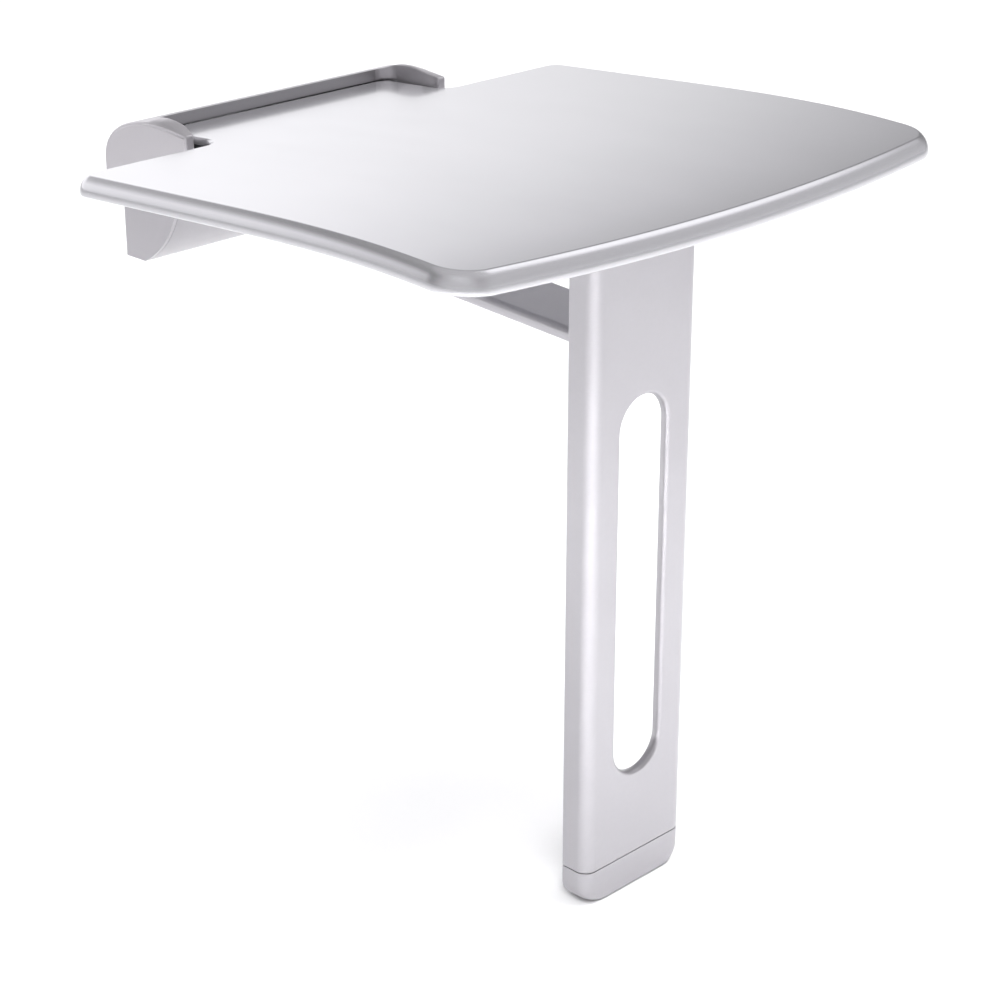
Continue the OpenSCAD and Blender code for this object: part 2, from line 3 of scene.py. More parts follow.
import bmesh
import bpy
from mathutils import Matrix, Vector

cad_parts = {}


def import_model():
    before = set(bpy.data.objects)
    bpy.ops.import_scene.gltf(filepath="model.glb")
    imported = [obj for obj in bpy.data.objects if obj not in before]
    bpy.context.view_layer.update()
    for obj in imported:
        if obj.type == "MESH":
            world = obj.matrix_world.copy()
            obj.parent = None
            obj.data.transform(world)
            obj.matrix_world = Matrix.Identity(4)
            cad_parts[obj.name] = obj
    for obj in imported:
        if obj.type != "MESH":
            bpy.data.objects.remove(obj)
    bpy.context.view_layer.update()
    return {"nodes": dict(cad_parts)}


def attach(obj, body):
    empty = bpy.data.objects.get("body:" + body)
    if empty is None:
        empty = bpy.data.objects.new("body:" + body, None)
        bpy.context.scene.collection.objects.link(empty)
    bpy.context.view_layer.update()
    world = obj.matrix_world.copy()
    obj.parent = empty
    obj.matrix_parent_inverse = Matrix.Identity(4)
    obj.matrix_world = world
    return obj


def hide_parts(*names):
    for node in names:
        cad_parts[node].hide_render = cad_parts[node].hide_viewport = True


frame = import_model()
MM = 0.001

# ---------------------------------------------------------------- sizes, in millimetres

SEAT_W, SEAT_T, SKIN = 440.0, 13.0, 5.0
TOP_BACK, TOP_SLOPE, FALL_FROM, FALL_RATE = 56.4, 0.066, -227.0, 1.03e-6
SHOULDER, REACH, BOW = -102.0, -472.0, 19.0
FRONT_R, BACK_R = 30.0, 14.0
TONGUE_HW, TONGUE_Y, TONGUE_R, NECK_R = 103.0, -41.5, 10.0, 12.0
LEG_HW, LEG_F, LEG_B, LEG_R = 48.5, -395.4, -372.4, 9.0
LEG_TOP, LEG_SEAM, FLOOR = 48.0, -404.5, -430.0
LEG_SIDE_T, LEG_FACE_T, LEG_BACK_R, SLOT_LIP = 4.0, 5.0, 2.2, 3.0
SLOT_R, SLOT_Z0, SLOT_Z1 = 22.0, -320.0, -94.0
FOOT_R, FOOT_EDGE = 13.0, 1.2
CAP_OUT, CAP_IN, CAP_NOSE, CAP_TOP, CAP_PEAK, CAP_CROWN = 118.5, 108.5, -91.0, 62.3, -60.0, 3.0
HOOD_Y, FLARE_R, LIP_Z = -40.0, 12.0, 52.3
CAP_EDGE_R, CAP_NOSE_R, CAP_TOP_R = 1.3, 1.4, 240.0
STRUT_HW, STRUT_HH, STRUT_R, STRUT_END = 28.0, 5.0, 4.0, 11.0
WALL_PIVOT, LINK_Y, LINK_DROP = (-64.0, -21.9), 319.0, 15.6


def top_z(y):
    """Height of the seat's top surface at distance y from the wall."""
    return TOP_BACK + TOP_SLOPE * (SHOULDER - y) - FALL_RATE * max(0.0, FALL_FROM - y) ** 3


# ---------------------------------------------------------------- node helpers


def material(name, color, metallic=0.0, roughness=0.4, coat=0.0, coat_rough=0.1, specular=0.5):
    m = bpy.data.materials.new(name)
    m.use_nodes = True
    nt = m.node_tree
    p = nt.nodes["Principled BSDF"]
    p.inputs["Base Color"].default_value = (*color, 1)
    p.inputs["Metallic"].default_value = metallic
    p.inputs["Roughness"].default_value = roughness
    p.inputs["Coat Weight"].default_value = coat
    p.inputs["Coat Roughness"].default_value = coat_rough
    p.inputs["Specular IOR Level"].default_value = specular
    return m, nt, p


def node(nt, kind, **settings):
    n = nt.nodes.new(kind)
    for k, v in settings.items():
        if k in n.inputs:
            n.inputs[k].default_value = v
        else:
            setattr(n, k, v)
    return n


def coords(nt, scale=(1, 1, 1)):
    c = nt.nodes.new("ShaderNodeTexCoord")
    m = nt.nodes.new("ShaderNodeMapping")
    m.inputs["Scale"].default_value = scale
    nt.links.new(c.outputs["Object"], m.inputs["Vector"])
    return m.outputs["Vector"]


def noise(nt, scale, detail=4.0, rough=0.5, stretch=(1, 1, 1)):
    n = node(nt, "ShaderNodeTexNoise", Scale=scale, Detail=detail, Roughness=rough)
    nt.links.new(coords(nt, stretch), n.inputs["Vector"])
    return n.outputs["Fac"]


def ramp(nt, fac, stops):
    r = nt.nodes.new("ShaderNodeValToRGB")
    e = r.color_ramp.elements
    e[0].position, e[1].position = stops[0][0], stops[-1][0]
    e[0].color, e[1].color = (*stops[0][1], 1), (*stops[-1][1], 1)
    for pos, col in stops[1:-1]:
        e.new(pos).color = (*col, 1)
    nt.links.new(fac, r.inputs["Fac"])
    return r.outputs["Color"]


def spread(nt, fac, low, high, lo_in=0.3, hi_in=0.7):
    m = node(nt, "ShaderNodeMapRange")
    m.inputs["From Min"].default_value = lo_in
    m.inputs["From Max"].default_value = hi_in
    m.inputs["To Min"].default_value = low
    m.inputs["To Max"].default_value = high
    nt.links.new(fac, m.inputs["Value"])
    return m.outputs["Result"]


def bump(nt, p, height, strength, distance, below=None):
    b = node(nt, "ShaderNodeBump", Strength=strength, Distance=distance)
    nt.links.new(height, b.inputs["Height"])
    if below is not None:
        nt.links.new(below, b.inputs["Normal"])
    nt.links.new(b.outputs["Normal"], p.inputs["Normal"])
    return b.outputs["Normal"]


def shade(c, k):
    return tuple(min(1.0, v * k) for v in c)


def add_math(nt, a, b, op="ADD"):
    m = node(nt, "ShaderNodeMath", operation=op)
    nt.links.new(a, m.inputs[0])
    if isinstance(b, float):
        m.inputs[1].default_value = b
    else:
        nt.links.new(b, m.inputs[1])
    return m.outputs[0]


def worn_edges(nt, color, tint, low=0.52, high=0.62):
    """Mixes tint into color along convex edges, broken up by a fine noise."""
    g = nt.nodes.new("ShaderNodeNewGeometry")
    f = add_math(nt, spread(nt, g.outputs["Pointiness"], 0.0, 1.0, low, high),
                 spread(nt, noise(nt, 900.0, 3.0), 0.1, 0.9), "MULTIPLY")
    mix = node(nt, "ShaderNodeMix", data_type="RGBA")
    nt.links.new(f, mix.inputs["Factor"])
    nt.links.new(color, mix.inputs[6])
    mix.inputs[7].default_value = (*tint, 1)
    return mix.outputs[2]


def pearl(name, color, metallic, rough, coat, edge=(1.0, 1.0, 1.0)):
    """Pearl-silver lacquer: fine flake, light orange peel, and faint wipe marks in the gloss.

    edge tints what the metal mirrors at a shallow angle.
    """
    m, nt, p = material(name, color, metallic, rough, coat, 0.12)
    p.inputs["Specular Tint"].default_value = (*edge, 1)
    flake = noise(nt, 380.0, 1.0, 0.5)
    cloud = noise(nt, 6.0, 3.0, 0.5)
    tone = add_math(nt, add_math(nt, flake, 0.25, "MULTIPLY"), add_math(nt, cloud, 0.75, "MULTIPLY"))
    base = ramp(nt, tone, [(0.3, shade(color, 0.975)), (0.7, shade(color, 1.02))])
    nt.links.new(worn_edges(nt, base, shade(color, 1.08)), p.inputs["Base Color"])
    wipe = noise(nt, 18.0, 5.0, 0.6, (1.0, 0.35, 1.0))
    nt.links.new(spread(nt, wipe, rough * 0.88, rough * 1.15), p.inputs["Roughness"])
    bump(nt, p, noise(nt, 200.0, 1.0, 0.4), 0.02, 0.0003)
    return m


def brushed(name, color, rough=0.3, along=(1.0, 1.0, 1.0)):
    """Machined or brushed metal: fine scratches along one direction, with tool marks and edge wear."""
    m, nt, p = material(name, color, 0.95, rough)
    lines = noise(nt, 420.0, 5.0, 0.65, along)
    stain = noise(nt, 30.0, 4.0, 0.6)
    base = ramp(nt, add_math(nt, add_math(nt, lines, 0.6, "MULTIPLY"), add_math(nt, stain, 0.4, "MULTIPLY")),
                [(0.35, shade(color, 0.8)), (0.5, color), (0.65, shade(color, 1.15))])
    nt.links.new(worn_edges(nt, base, shade(color, 1.35)), p.inputs["Base Color"])
    nt.links.new(spread(nt, lines, rough * 0.75, rough * 1.35), p.inputs["Roughness"])
    bump(nt, p, lines, 0.12, 0.0002)
    return m


def moulded(name, color, rough=0.5, grain=900.0, depth=0.15):
    """Moulded polymer or rubber with a spark-eroded grain."""
    m, nt, p = material(name, color, 0.0, rough)
    fine = noise(nt, grain, 4.0, 0.7)
    v = node(nt, "ShaderNodeTexVoronoi", Scale=grain * 0.8)
    nt.links.new(coords(nt), v.inputs["Vector"])
    cloud = noise(nt, 14.0, 3.0)
    base = ramp(nt, cloud, [(0.35, shade(color, 0.93)), (0.65, shade(color, 1.05))])
    nt.links.new(worn_edges(nt, base, shade(color, 1.12)), p.inputs["Base Color"])
    nt.links.new(spread(nt, fine, rough * 0.88, rough * 1.15), p.inputs["Roughness"])
    under = bump(nt, p, v.outputs["Distance"], depth * 0.7, 0.00025)
    bump(nt, p, fine, depth, 0.0002, under)
    return m


SEAT_MAT = pearl("seat_pearl", (0.55, 0.545, 0.57), 0.8, 0.22, 1.0, edge=(0.75, 0.75, 0.76))
LEG_MAT = pearl("leg_pearl", (0.445, 0.434, 0.457), 0.85, 0.335, 0.08)
RAIL_MAT = pearl("rail_pearl", (0.38, 0.37, 0.39), 0.8, 0.34, 0.05)
PLATE_MAT = pearl("plate_pearl", (0.43, 0.418, 0.442), 0.8, 0.34, 0.05)
CAP_MAT = pearl("cap_pearl", (0.52, 0.503, 0.529), 0.8, 0.34, 0.08)
STEEL = brushed("steel_plate", (0.50, 0.51, 0.53), 0.39, (1.0, 0.06, 1.0))
STEEL_Z = brushed("steel_plate_upright", (0.50, 0.51, 0.53), 0.39, (1.0, 1.0, 0.06))
TURNED = brushed("steel_turned", (0.60, 0.61, 0.63), 0.2, (0.06, 1.0, 1.0))
SPRING = brushed("steel_spring", (0.10, 0.10, 0.11), 0.39)
NYLON = moulded("nylon", (0.82, 0.80, 0.74), 0.45, 700.0, 0.08)
RUBBER = moulded("rubber", (0.025, 0.025, 0.028), 0.62, 800.0, 0.3)
COVER_MAT = moulded("cover_grain", (0.37, 0.37, 0.39), 0.42, 1100.0, 0.2)

# ---------------------------------------------------------------- mesh helpers


def arc(cx, cy, r, a0, a1, n):
    return [(cx + r * math.cos(math.radians(a0 + (a1 - a0) * i / n)),
             cy + r * math.sin(math.radians(a0 + (a1 - a0) * i / n))) for i in range(n + 1)]


def line(p, q, n):
    """n points from p towards q, without q."""
    return [tuple(a + (b - a) * i / n for a, b in zip(p, q)) for i in range(n)]


class Shape:
    """Vertices and faces gathered in millimetres before they become one mesh."""

    def __init__(self):
        self.verts, self.faces = [], []

    def loop(self, points):
        start = len(self.verts)
        self.verts += [tuple(p) for p in points]
        return list(range(start, start + len(points)))

    def bridge(self, a, b, skip=()):
        n = len(a)
        for i in range(n):
            if i in skip:
                continue
            j = (i + 1) % n
            self.faces.append((a[i], a[j], b[j], b[i]))

    def loft(self, loops, cap0=True, cap1=True, skip=()):
        ids = [self.loop(l) for l in loops]
        for i in range(len(ids) - 1):
            self.bridge(ids[i], ids[i + 1], skip if 0 < i < len(ids) - 2 or len(ids) == 2 else ())
        if cap0:
            self.faces.append(tuple(reversed(ids[0])))
        if cap1:
            self.faces.append(tuple(ids[-1]))
        return ids

    def fan(self, loop, centre):
        c = len(self.verts)
        self.verts.append(tuple(centre))
        n = len(loop)
        for i in range(n):
            self.faces.append((loop[i], loop[(i + 1) % n], c))


def finish_mesh(obj, sharp):
    bm = bmesh.new()
    bm.from_mesh(obj.data)
    bmesh.ops.remove_doubles(bm, verts=bm.verts, dist=2e-6)
    bmesh.ops.dissolve_degenerate(bm, edges=bm.edges, dist=1e-6)
    bmesh.ops.recalc_face_normals(bm, faces=bm.faces)
    bm.to_mesh(obj.data)
    bm.free()
    obj.data.shade_smooth()
    obj.data.set_sharp_from_angle(angle=math.radians(sharp))


def piece(name, shape, body, mat, stands_for=(), sharp=38.0, weighted=False):
    mesh = bpy.data.meshes.new(name)
    mesh.from_pydata([tuple(c * MM for c in v) for v in shape.verts], [], shape.faces)
    obj = bpy.data.objects.new(name, mesh)
    bpy.context.scene.collection.objects.link(obj)
    finish_mesh(obj, sharp)
    return dress(obj, body, mat, stands_for, weighted)


def dress(obj, body, mat, stands_for, weighted=False):
    obj.data.materials.clear()
    obj.data.materials.append(mat)
    if weighted:
        w = obj.modifiers.new("weighted", "WEIGHTED_NORMAL")
        w.keep_sharp = True
        w.weight = 60
        settle(obj)
    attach(obj, body)
    if stands_for:
        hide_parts(*stands_for)
    return obj


def settle(obj):
    """Applies every modifier, so that what is left is a plain mesh."""
    bpy.context.view_layer.update()
    dg = bpy.context.evaluated_depsgraph_get()
    done = bpy.data.meshes.new_from_object(obj.evaluated_get(dg), depsgraph=dg)
    old = obj.data
    obj.modifiers.clear()
    obj.data = done
    done.name = obj.name
    bpy.data.meshes.remove(old)


def softened(node_name, body, mat, edge, segments=2):
    """A CAD node's shape with its sharp edges rounded, as the real cast, pressed or moulded piece has."""
    src = frame["nodes"][node_name]
    mesh = src.data.copy()
    mesh.name = node_name + "_soft"
    obj = bpy.data.objects.new(node_name + "_soft", mesh)
    bpy.context.scene.collection.objects.link(obj)
    for attribute in [a.name for a in mesh.attributes if a.name == "custom_normal"]:
        mesh.attributes.remove(mesh.attributes[attribute])
    bm = bmesh.new()
    bm.from_mesh(mesh)
    bmesh.ops.remove_doubles(bm, verts=bm.verts, dist=1e-6)
    for e in bm.edges:
        e.smooth = True
    bmesh.ops.dissolve_limit(bm, angle_limit=math.radians(0.6), verts=bm.verts, edges=bm.edges)
    bm.to_mesh(mesh)
    bm.free()
    b = obj.modifiers.new("edge", "BEVEL")
    b.width = edge * MM
    b.segments = segments
    b.limit_method = "ANGLE"
    b.angle_limit = math.radians(32.0)
    b.use_clamp_overlap = True
    b.harden_normals = False
    mesh.shade_smooth()
    w = obj.modifiers.new("weighted", "WEIGHTED_NORMAL")
    w.keep_sharp = False
    w.weight = 60
    settle(obj)
    return dress(obj, body, mat, (node_name,))


# ---------------------------------------------------------------- seat


def seat_outline():
    """Points round the seat's edge, each with its outward normal and a share.

    The share is 1 on the thick rim and 0 on the thin tongue.
    """
    bow_r = (SEAT_W ** 2 / 4 + BOW ** 2) / (2 * BOW)
    cy = REACH + bow_r
    xc = SEAT_W / 2 - FRONT_R
    yc = cy - math.sqrt((bow_r - FRONT_R) ** 2 - xc ** 2)
    lean = math.degrees(math.asin(xc / (bow_r - FRONT_R)))
    half = []

    def sweep(cx, cy_, r, a0, a1, n, hollow=False, share=(1.0, 1.0)):
        for i in range(n):
            t = i / n
            a = math.radians(a0 + (a1 - a0) * t)
            k = -1 if hollow else 1
            half.append((cx + r * math.cos(a), cy_ + r * math.sin(a), k * math.cos(a), k * math.sin(a),
                         share[0] + (share[1] - share[0]) * t))

    def run(p, q, nx, ny, n, share=1.0):
        for x, y in line(p, q, n):
            half.append((x, y, nx, ny, share))

    sweep(0, cy, bow_r, -90, -90 + lean, 56)
    sweep(xc, yc, FRONT_R, -90 + lean, 0, 26)
    run((SEAT_W / 2, yc), (SEAT_W / 2, SHOULDER - BACK_R), 1, 0, 44)
    sweep(SEAT_W / 2 - BACK_R, SHOULDER - BACK_R, BACK_R, 0, 90, 18)
    run((SEAT_W / 2 - BACK_R, SHOULDER), (TONGUE_HW + NECK_R, SHOULDER), 0, 1, 18)
    sweep(TONGUE_HW + NECK_R, SHOULDER + NECK_R, NECK_R, 270, 180, 14, True, (1.0, 0.0))
    run((TONGUE_HW, SHOULDER + NECK_R), (TONGUE_HW, TONGUE_Y - TONGUE_R), 1, 0, 8, 0.0)
    sweep(TONGUE_HW - TONGUE_R, TONGUE_Y - TONGUE_R, TONGUE_R, 0, 90, 12, False, (0.0, 0.0))
    run((TONGUE_HW - TONGUE_R, TONGUE_Y), (0, TONGUE_Y), 0, 1, 20, 0.0)
    half.append((0, TONGUE_Y, 0, 1, 0.0))
    return half + [(-x, y, -nx, ny, s) for x, y, nx, ny, s in reversed(half[1:-1])]


def rim_profile():
    """The rim's section as (inset, depth): a rounded top edge, a full cheek, a small lower corner."""
    pts, h, v = [(0.0, 0.0)], 0.0, 0.0
    for r, a0, a1, n in ((3.0, 0, 30, 6), (11.5, 30, 94, 16), (1.5, 94, 180, 8)):
        for i in range(1, n + 1):
            a = math.radians(a0 + (a1 - a0) * i / n)
            b = math.radians(a0)
            pts.append((h + r * (math.sin(a) - math.sin(b)), v + r * (math.cos(b) - math.cos(a))))
        h, v = pts[-1]
    widest = max(p[0] for p in pts)
    return [(widest - x, y) for x, y in pts], v


def seat_shell():
    out = seat_outline()
    s = Shape()
    hub = (0.0, -262.0)

    def ring(inset, depth):
        """One loop: inset and depth are functions of the share."""
        pts = []
        for x, y, nx, ny, sh in out:
            k = inset(sh)
            px, py = x - nx * k, y - ny * k
            pts.append((px, py, top_z(py) - depth(sh)))
        return pts

    def thick(sh):
        return SKIN + (SEAT_T - SKIN) * sh

    profile, drop = rim_profile()

    def rim(sh):
        return 1.6 + (profile[0][0] - 1.6) * sh

    def pulled(points, t, depth):
        """The loop drawn in towards the hub by the share t, on the curved top or as deep below it."""
        pts = []
        for x, y, z in points:
            px, py = x + (hub[0] - x) * t, y + (hub[1] - y) * t
            pts.append((px, py, top_z(py) - depth))
        return pts

    inner_top = ring(rim, lambda sh: 0.0)
    pulls = [0.93, 0.86, 0.79, 0.72, 0.65, 0.58, 0.51, 0.44, 0.37, 0.3]
    pulls += [0.24, 0.18, 0.13, 0.09, 0.055, 0.03, 0.012, 0.004]
    top = [pulled(inner_top, t, 0.0) for t in pulls]
    loops = top + [inner_top]
    for u, v in profile[1:]:
        loops.append(ring(lambda sh: rim(sh) * u / profile[0][0], lambda sh: thick(sh) * v / drop))
    loops.append(ring(lambda sh: 2.0 + 10.6 * sh, thick))
    loops.append(ring(lambda sh: 2.2 + 11.2 * sh, lambda sh: thick(sh) - 0.2 * sh))
    loops.append(ring(lambda sh: 2.3 + 11.6 * sh, lambda sh: thick(sh) - 0.8 * sh))
    loops.append(ring(lambda sh: 2.4 + 11.6 * sh, lambda sh: SKIN + 0.9 * sh))
    low = ring(lambda sh: 2.6 + 12.4 * sh, lambda sh: SKIN)
    loops.append(low)
    loops += [pulled(low, t, SKIN) for t in [0.04, 0.15, 0.3, 0.45, 0.6, 0.75, 0.9]]
    ids = s.loft(loops, cap0=False, cap1=False)
    s.fan(list(reversed(ids[0])), (hub[0], hub[1], top_z(hub[1])))
    s.fan(ids[-1], (hub[0], hub[1], top_z(hub[1]) - SKIN))
    return piece("seat_shell_skin", s, "seat", SEAT_MAT, ("seat_shell",), sharp=50.0)


seat_shell()

# ---------------------------------------------------------------- leg


def leg_loop(z, inset):
    """Closed outline of the open-backed leg at height z: outside first, then the inside.

    Also gives the places in it where the outer and the inner front face start.
    """
    w, f, b = LEG_HW - inset, LEG_F + inset, LEG_B - inset
    iw, inf = LEG_HW - LEG_SIDE_T + inset, LEG_F + LEG_FACE_T - inset
    pts = arc(-w + LEG_BACK_R, b - LEG_BACK_R, LEG_BACK_R, 90, 180, 6)
    pts += arc(-w + LEG_R, f + LEG_R, LEG_R, 180, 270, 18)
    mark_out = len(pts) - 1
    pts += arc(w - LEG_R, f + LEG_R, LEG_R, 270, 360, 18)
    pts += arc(w - LEG_BACK_R, b - LEG_BACK_R, LEG_BACK_R, 0, 90, 6)
    pts += arc(iw + 0.8, b - 0.8, 0.8, 90, 180, 4)
    pts += arc(iw - 4.0, inf + 4.0, 4.0, 0, -90, 10)
    mark_in = len(pts) - 1
    pts += arc(-iw + 4.0, inf + 4.0, 4.0, 270, 180, 10)
    pts += arc(-iw - 0.8, b - 0.8, 0.8, 0, 90, 4)
    return [(x, y, z) for x, y in pts], mark_out, mark_in


def stadium(r, y):
    pts = arc(0, SLOT_Z1, r, 0, 180, 40) + arc(0, SLOT_Z0, r, 180, 360, 40)
    return [(x, y, z) for x, z in pts]


def fill_with_hole(shape, rect, hole):
    """Fills the flat face between a rectangle and the slot with strips that keep the shading flat."""
    base = len(shape.verts)
    bm = bmesh.new()
    rv = [bm.verts.new(p) for p in rect]
    hv = [bm.verts.new(p) for p in hole]
    edges = [bm.edges.new((l[i], l[(i + 1) % len(l)])) for l in (rv, hv) for i in range(len(l))]
    bmesh.ops.triangle_fill(bm, use_beauty=True, use_dissolve=False, edges=edges)
    bm.verts.index_update()
    shape.verts += [tuple(v.co) for v in bm.verts]
    shape.faces += [tuple(base + v.index for v in f.verts) for f in bm.faces]
    bm.free()


def leg_channel():
    s = Shape()
    levels = [(LEG_SEAM, 0.45), (LEG_SEAM + 0.15, 0.15), (LEG_SEAM + 0.5, 0.0),
              (LEG_TOP - 0.5, 0.0), (LEG_TOP - 0.15, 0.15), (LEG_TOP, 0.45)]
    loops = []
    for z, inset in levels:
        pts, mo, mi = leg_loop(z, inset)
        loops.append(pts)
    ids = [s.loop(l) for l in loops]
    for i in range(len(ids) - 1):
        s.bridge(ids[i], ids[i + 1], (mo, mi) if i == 2 else ())
    s.faces.append(tuple(ids[0]))
    s.faces.append(tuple(reversed(ids[-1])))
    lo, hi = loops[2], loops[3]
    lip = SLOT_R + SLOT_LIP
    inner = LEG_F + LEG_FACE_T
    fill_with_hole(s, [lo[mo], lo[mo + 1], hi[mo + 1], hi[mo]], stadium(lip, LEG_F))
    fill_with_hole(s, [lo[mi], lo[mi + 1], hi[mi + 1], hi[mi]], stadium(lip, inner))
    collar = []
    for i in range(9):
        a = math.radians(90 * i / 8)
        collar.append((lip - SLOT_LIP * math.sin(a), LEG_F + SLOT_LIP - SLOT_LIP * math.cos(a)))
    collar += [(SLOT_R, inner + 0.6), (SLOT_R + 0.25, inner + 1.2), (SLOT_R + 0.9, inner + 1.5),
               (lip - 0.7, inner + 1.5), (lip - 0.2, inner + 1.3), (lip, inner + 0.9), (lip, inner)]
    s.loft([stadium(r, y) for r, y in collar], cap0=False, cap1=False)
    return piece("leg_channel_body", s, "leg", LEG_MAT, ("leg_channel",), sharp=40.0, weighted=True)


def foot_cap():
    s = Shape()
    bottom, top = FLOOR + 0.5, LEG_SEAM - 0.4

    def section(z, side, ends=0.0):
        w, f, b = LEG_HW - side, LEG_F + ends, LEG_B - ends
        pts = arc(-w + LEG_BACK_R, b - LEG_BACK_R, LEG_BACK_R, 90, 180, 6)
        pts += arc(-w + LEG_R, f + LEG_R, LEG_R, 180, 270, 18)
        pts += arc(w - LEG_R, f + LEG_R, LEG_R, 270, 360, 18)
        pts += arc(w - LEG_BACK_R, b - LEG_BACK_R, LEG_BACK_R, 0, 90, 6)
        return [(x, y, z) for x, y in pts]

    loops = []
    for i in range(17):
        a = math.radians(90 * i / 16)
        h = FOOT_R * (1 - math.cos(a))
        lift = max(0.0, FOOT_EDGE - h)
        ends = FOOT_EDGE - math.sqrt(max(0.0, FOOT_EDGE ** 2 - lift ** 2))
        loops.append(section(bottom + h, FOOT_R * (1 - math.sin(a)), ends))
    loops += [section(top - 0.5, 0.0), section(top - 0.15, 0.15, 0.15), section(top, 0.45, 0.45)]
    s.loft(loops)
    w, f, b, t = LEG_HW - 4.05, LEG_F + 5.05, LEG_B - 2.0, top + 18.0
    plug = [(-w, f), (w, f), (w, b), (30, b), (30, f + 3), (-30, f + 3), (-30, b), (-w, b)]
    s.loft([[(x, y, z) for x, y in plug] for z in (top - 1.0, t)])
    return piece("foot_cap_body", s, "leg", LEG_MAT, ("foot_cap",), sharp=40.0, weighted=True)


leg_channel()
foot_cap()

# ---------------------------------------------------------------- strut


def strut_bar():
    s = Shape()
    length = math.hypot(LINK_Y, LINK_DROP)
    uy, uz = -LINK_Y / length, -LINK_DROP / length

    def section(d, inset):
        w, h, r = STRUT_HW - inset, STRUT_HH - inset, STRUT_R - inset
        pts = arc(w - r, h - r, r, 0, 90, 10) + arc(-w + r, h - r, r, 90, 180, 10)
        pts += arc(-w + r, -h + r, r, 180, 270, 10) + arc(w - r, -h + r, r, 270, 360, 10)
        return [(x, WALL_PIVOT[0] + uy * d - uz * n, WALL_PIVOT[1] + uz * d + uy * -n) for x, n in pts]

    a, b = STRUT_END, length - STRUT_END
    stations = [(a + 6, 2.0), (a + 0.2, 2.0), (a, 1.7), (a, 0.4), (a + 0.4, 0.0), (b - 0.4, 0.0), (b, 0.4),
                (b, 1.7), (b - 0.2, 2.0), (b - 6, 2.0)]
    s.loft([section(d, i) for d, i in stations])
    return piece("strut_bar_body", s, "strut", LEG_MAT, ("strut_bar",), sharp=50.0, weighted=True)


strut_bar()

# ---------------------------------------------------------------- end caps


def cap_stations():
    """(y, top z) from the wall to the nose along the cap's rounded top."""
    pts = []
    p = [(0.0, 30.0), (0.0, 48.0), (-22.0, CAP_TOP), (CAP_PEAK, CAP_TOP)]
    for i in range(22):
        t = i / 22
        u = 1 - t
        pts.append(tuple(u ** 3 * a + 3 * u * u * t * b + 3 * u * t * t * c + t ** 3 * d
                         for a, b, c, d in zip(*p)))
    for i in range(19):
        y = CAP_PEAK + (CAP_NOSE + CAP_NOSE_R - CAP_PEAK) * i / 18
        pts.append((y, CAP_TOP - CAP_TOP_R + math.sqrt(CAP_TOP_R ** 2 - (y - CAP_PEAK) ** 2)))
    return pts


def inward(loop, d):
    """The closed loop moved in by d, to the right of its direction of travel."""
    pts = []
    n = len(loop)
    for i in range(n):
        (ax, ay), (bx, by), (cx, cy) = loop[i - 1], loop[i], loop[(i + 1) % n]
        ux, uy, vx, vy = bx - ax, by - ay, cx - bx, cy - by
        lu, lv = math.hypot(ux, uy) or 1.0, math.hypot(vx, vy) or 1.0
        nx, ny = -uy / lu - vy / lv, ux / lu + vx / lv
        k = d / max(0.6, (nx * nx + ny * ny) / 2)
        pts.append((bx + nx * k, by + ny * k))
    return pts


def cap_low(y):
    """Height of the cap's lower edge at distance y from the wall."""
    if y > -60:
        return 0.07 + 3.93 * -y / 60
    if y > -72:
        return 4 + 14.2 * (-60 - y) / 12
    return 40 - math.sqrt(max(0.0, 22 ** 2 - (y + 69) ** 2))


